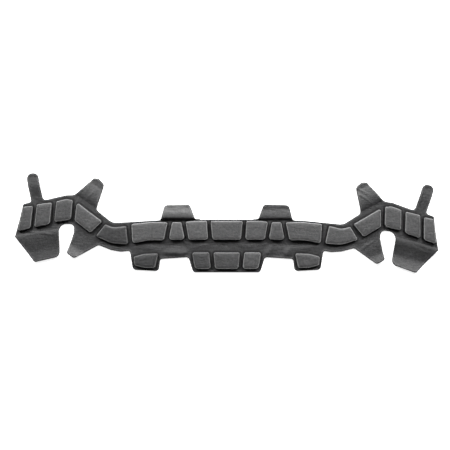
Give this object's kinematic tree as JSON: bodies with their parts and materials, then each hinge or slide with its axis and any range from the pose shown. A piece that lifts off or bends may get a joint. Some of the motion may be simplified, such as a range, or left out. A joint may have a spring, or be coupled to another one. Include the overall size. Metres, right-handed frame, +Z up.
{
  "type": "padded headband liner strip",
  "caption": "Soft padded strip with moulded foam pads on its face and unpadded tabs that fold back over a head ring.",
  "frame": {"origin": "on the back face, under the middle of the centre main-row pad", "axes": "+X along the strip to its right end, +Y to the edge with the top tabs, +Z up out of the pads"},
  "size_m": [0.591, 0.1394, 0.007],
  "materials": {
    "cover": "soft satin leather-like face, fine grain",
    "foam": "closed-cell foam",
    "backing": "brushed loop knit",
    "hook": "moulded hook tape"
  },
  "bodies": {
    "centre": {"cover_centre": "cover", "backing_centre": "backing", "foam_main_09": "foam", "foam_lower_03": "foam"},
    "brow_left": {"cover_brow_left": "cover", "backing_brow_left": "backing", "foam_main_08": "foam", "foam_main_07": "foam", "foam_main_06": "foam", "foam_lower_02": "foam", "foam_lower_01": "foam"},
    "temple_left": {"cover_temple_left": "cover", "backing_temple_left": "backing", "foam_main_05": "foam", "foam_main_04": "foam"},
    "end_left": {"cover_end_left": "cover", "backing_end_left": "backing", "foam_main_03": "foam", "foam_main_02": "foam", "foam_main_01": "foam"},
    "top_tab_left": {"tab_top_left": "cover", "hook_top_left": "hook"},
    "upper_star_tab_left": {"tab_upper_star_left": "cover", "hook_upper_star_left": "hook"},
    "lower_star_tab_left": {"tab_lower_star_left": "cover", "hook_lower_star_left": "hook"},
    "finger_tab_left": {"tab_finger_left": "cover", "hook_finger_left": "hook"},
    "lobe_tab_left": {"tab_lobe_left": "cover", "hook_lobe_left": "hook"},
    "brow_right": {"cover_brow_right": "cover", "backing_brow_right": "backing", "foam_main_10": "foam", "foam_main_11": "foam", "foam_main_12": "foam", "foam_lower_04": "foam", "foam_lower_05": "foam"},
    "temple_right": {"cover_temple_right": "cover", "backing_temple_right": "backing", "foam_main_13": "foam", "foam_main_14": "foam"},
    "end_right": {"cover_end_right": "cover", "backing_end_right": "backing", "foam_main_15": "foam", "foam_main_16": "foam", "foam_main_17": "foam"},
    "top_tab_right": {"tab_top_right": "cover", "hook_top_right": "hook"},
    "upper_star_tab_right": {"tab_upper_star_right": "cover", "hook_upper_star_right": "hook"},
    "lower_star_tab_right": {"tab_lower_star_right": "cover", "hook_lower_star_right": "hook"},
    "finger_tab_right": {"tab_finger_right": "cover", "hook_finger_right": "hook"},
    "lobe_tab_right": {"tab_lobe_right": "cover", "hook_lobe_right": "hook"}
  },
  "joints": [
    {"name": "brow_flex_left", "type": "hinge", "parent": "centre", "child": "brow_left", "pos_m": [-0.02175, -0.021, 0.0014], "axis": [-0.0893, 0.996, 0], "range_deg": [-25, 45], "stiffness_Nm_per_rad": 0.004},
    {"name": "waist_flex_left", "type": "hinge", "parent": "brow_left", "child": "temple_left", "pos_m": [-0.1356, -0.00875, 0.0014], "axis": [-0.0704, 0.9975, 0], "range_deg": [-25, 45], "stiffness_Nm_per_rad": 0.004},
    {"name": "temple_flex_left", "type": "hinge", "parent": "temple_left", "child": "end_left", "pos_m": [-0.21285, 0.03025, 0.0014], "axis": [0.1028, 0.9947, 0], "range_deg": [-25, 45], "stiffness_Nm_per_rad": 0.004},
    {"name": "top_fold_left", "type": "hinge", "parent": "brow_left", "child": "top_tab_left", "pos_m": [-0.068, 0.0195, 0.0014], "axis": [1, 0, 0], "range_deg": [-150, 40], "stiffness_Nm_per_rad": 0.0015},
    {"name": "upper_star_fold_left", "type": "hinge", "parent": "temple_left", "child": "upper_star_tab_left", "pos_m": [-0.19575, 0.04215, 0.0014], "axis": [0.8301, -0.5576, 0], "range_deg": [-150, 40], "stiffness_Nm_per_rad": 0.0015},
    {"name": "lower_star_fold_left", "type": "hinge", "parent": "temple_left", "child": "lower_star_tab_left", "pos_m": [-0.197, -0.01225, 0.0014], "axis": [-0.8425, 0.5387, 0], "range_deg": [-110, 40], "stiffness_Nm_per_rad": 0.0015},
    {"name": "finger_fold_left", "type": "hinge", "parent": "end_left", "child": "finger_tab_left", "pos_m": [-0.2665, 0.0457, 0.0014], "axis": [0.9886, 0.1506, 0], "range_deg": [-150, 40], "stiffness_Nm_per_rad": 0.0015},
    {"name": "lobe_fold_left", "type": "hinge", "parent": "end_left", "child": "lobe_tab_left", "pos_m": [-0.265, -0.003, 0.0014], "axis": [-0.9892, -0.1469, 0], "range_deg": [-100, 40], "stiffness_Nm_per_rad": 0.0015},
    {"name": "brow_flex_right", "type": "hinge", "parent": "centre", "child": "brow_right", "pos_m": [0.02175, -0.021, 0.0014], "axis": [-0.0893, -0.996, 0], "range_deg": [-25, 45], "stiffness_Nm_per_rad": 0.004},
    {"name": "waist_flex_right", "type": "hinge", "parent": "brow_right", "child": "temple_right", "pos_m": [0.1356, -0.00875, 0.0014], "axis": [-0.0704, -0.9975, 0], "range_deg": [-25, 45], "stiffness_Nm_per_rad": 0.004},
    {"name": "temple_flex_right", "type": "hinge", "parent": "temple_right", "child": "end_right", "pos_m": [0.21797, 0.02139, 0.0014], "axis": [-0.0192, -0.9998, 0], "range_deg": [-25, 45], "stiffness_Nm_per_rad": 0.004},
    {"name": "top_fold_right", "type": "hinge", "parent": "brow_right", "child": "top_tab_right", "pos_m": [0.068, 0.0195, 0.0014], "axis": [1, 0, 0], "range_deg": [-150, 40], "stiffness_Nm_per_rad": 0.0015},
    {"name": "upper_star_fold_right", "type": "hinge", "parent": "temple_right", "child": "upper_star_tab_right", "pos_m": [0.20244, 0.03529, 0.0014], "axis": [0.8919, 0.4522, 0], "range_deg": [-150, 40], "stiffness_Nm_per_rad": 0.0015},
    {"name": "lower_star_fold_right", "type": "hinge", "parent": "temple_right", "child": "lower_star_tab_right", "pos_m": [0.19706, -0.01886, 0.0014], "axis": [-0.9018, -0.4321, 0], "range_deg": [-110, 40], "stiffness_Nm_per_rad": 0.0015},
    {"name": "finger_fold_right", "type": "hinge", "parent": "end_right", "child": "finger_tab_right", "pos_m": [0.2731, 0.03019, 0.0014], "axis": [0.9629, -0.27, 0], "range_deg": [-150, 40], "stiffness_Nm_per_rad": 0.0015},
    {"name": "lobe_fold_right", "type": "hinge", "parent": "end_right", "child": "lobe_tab_right", "pos_m": [0.26567, -0.01796, 0.0014], "axis": [-0.9639, 0.2663, 0], "range_deg": [-100, 40], "stiffness_Nm_per_rad": 0.0015}
  ]
}
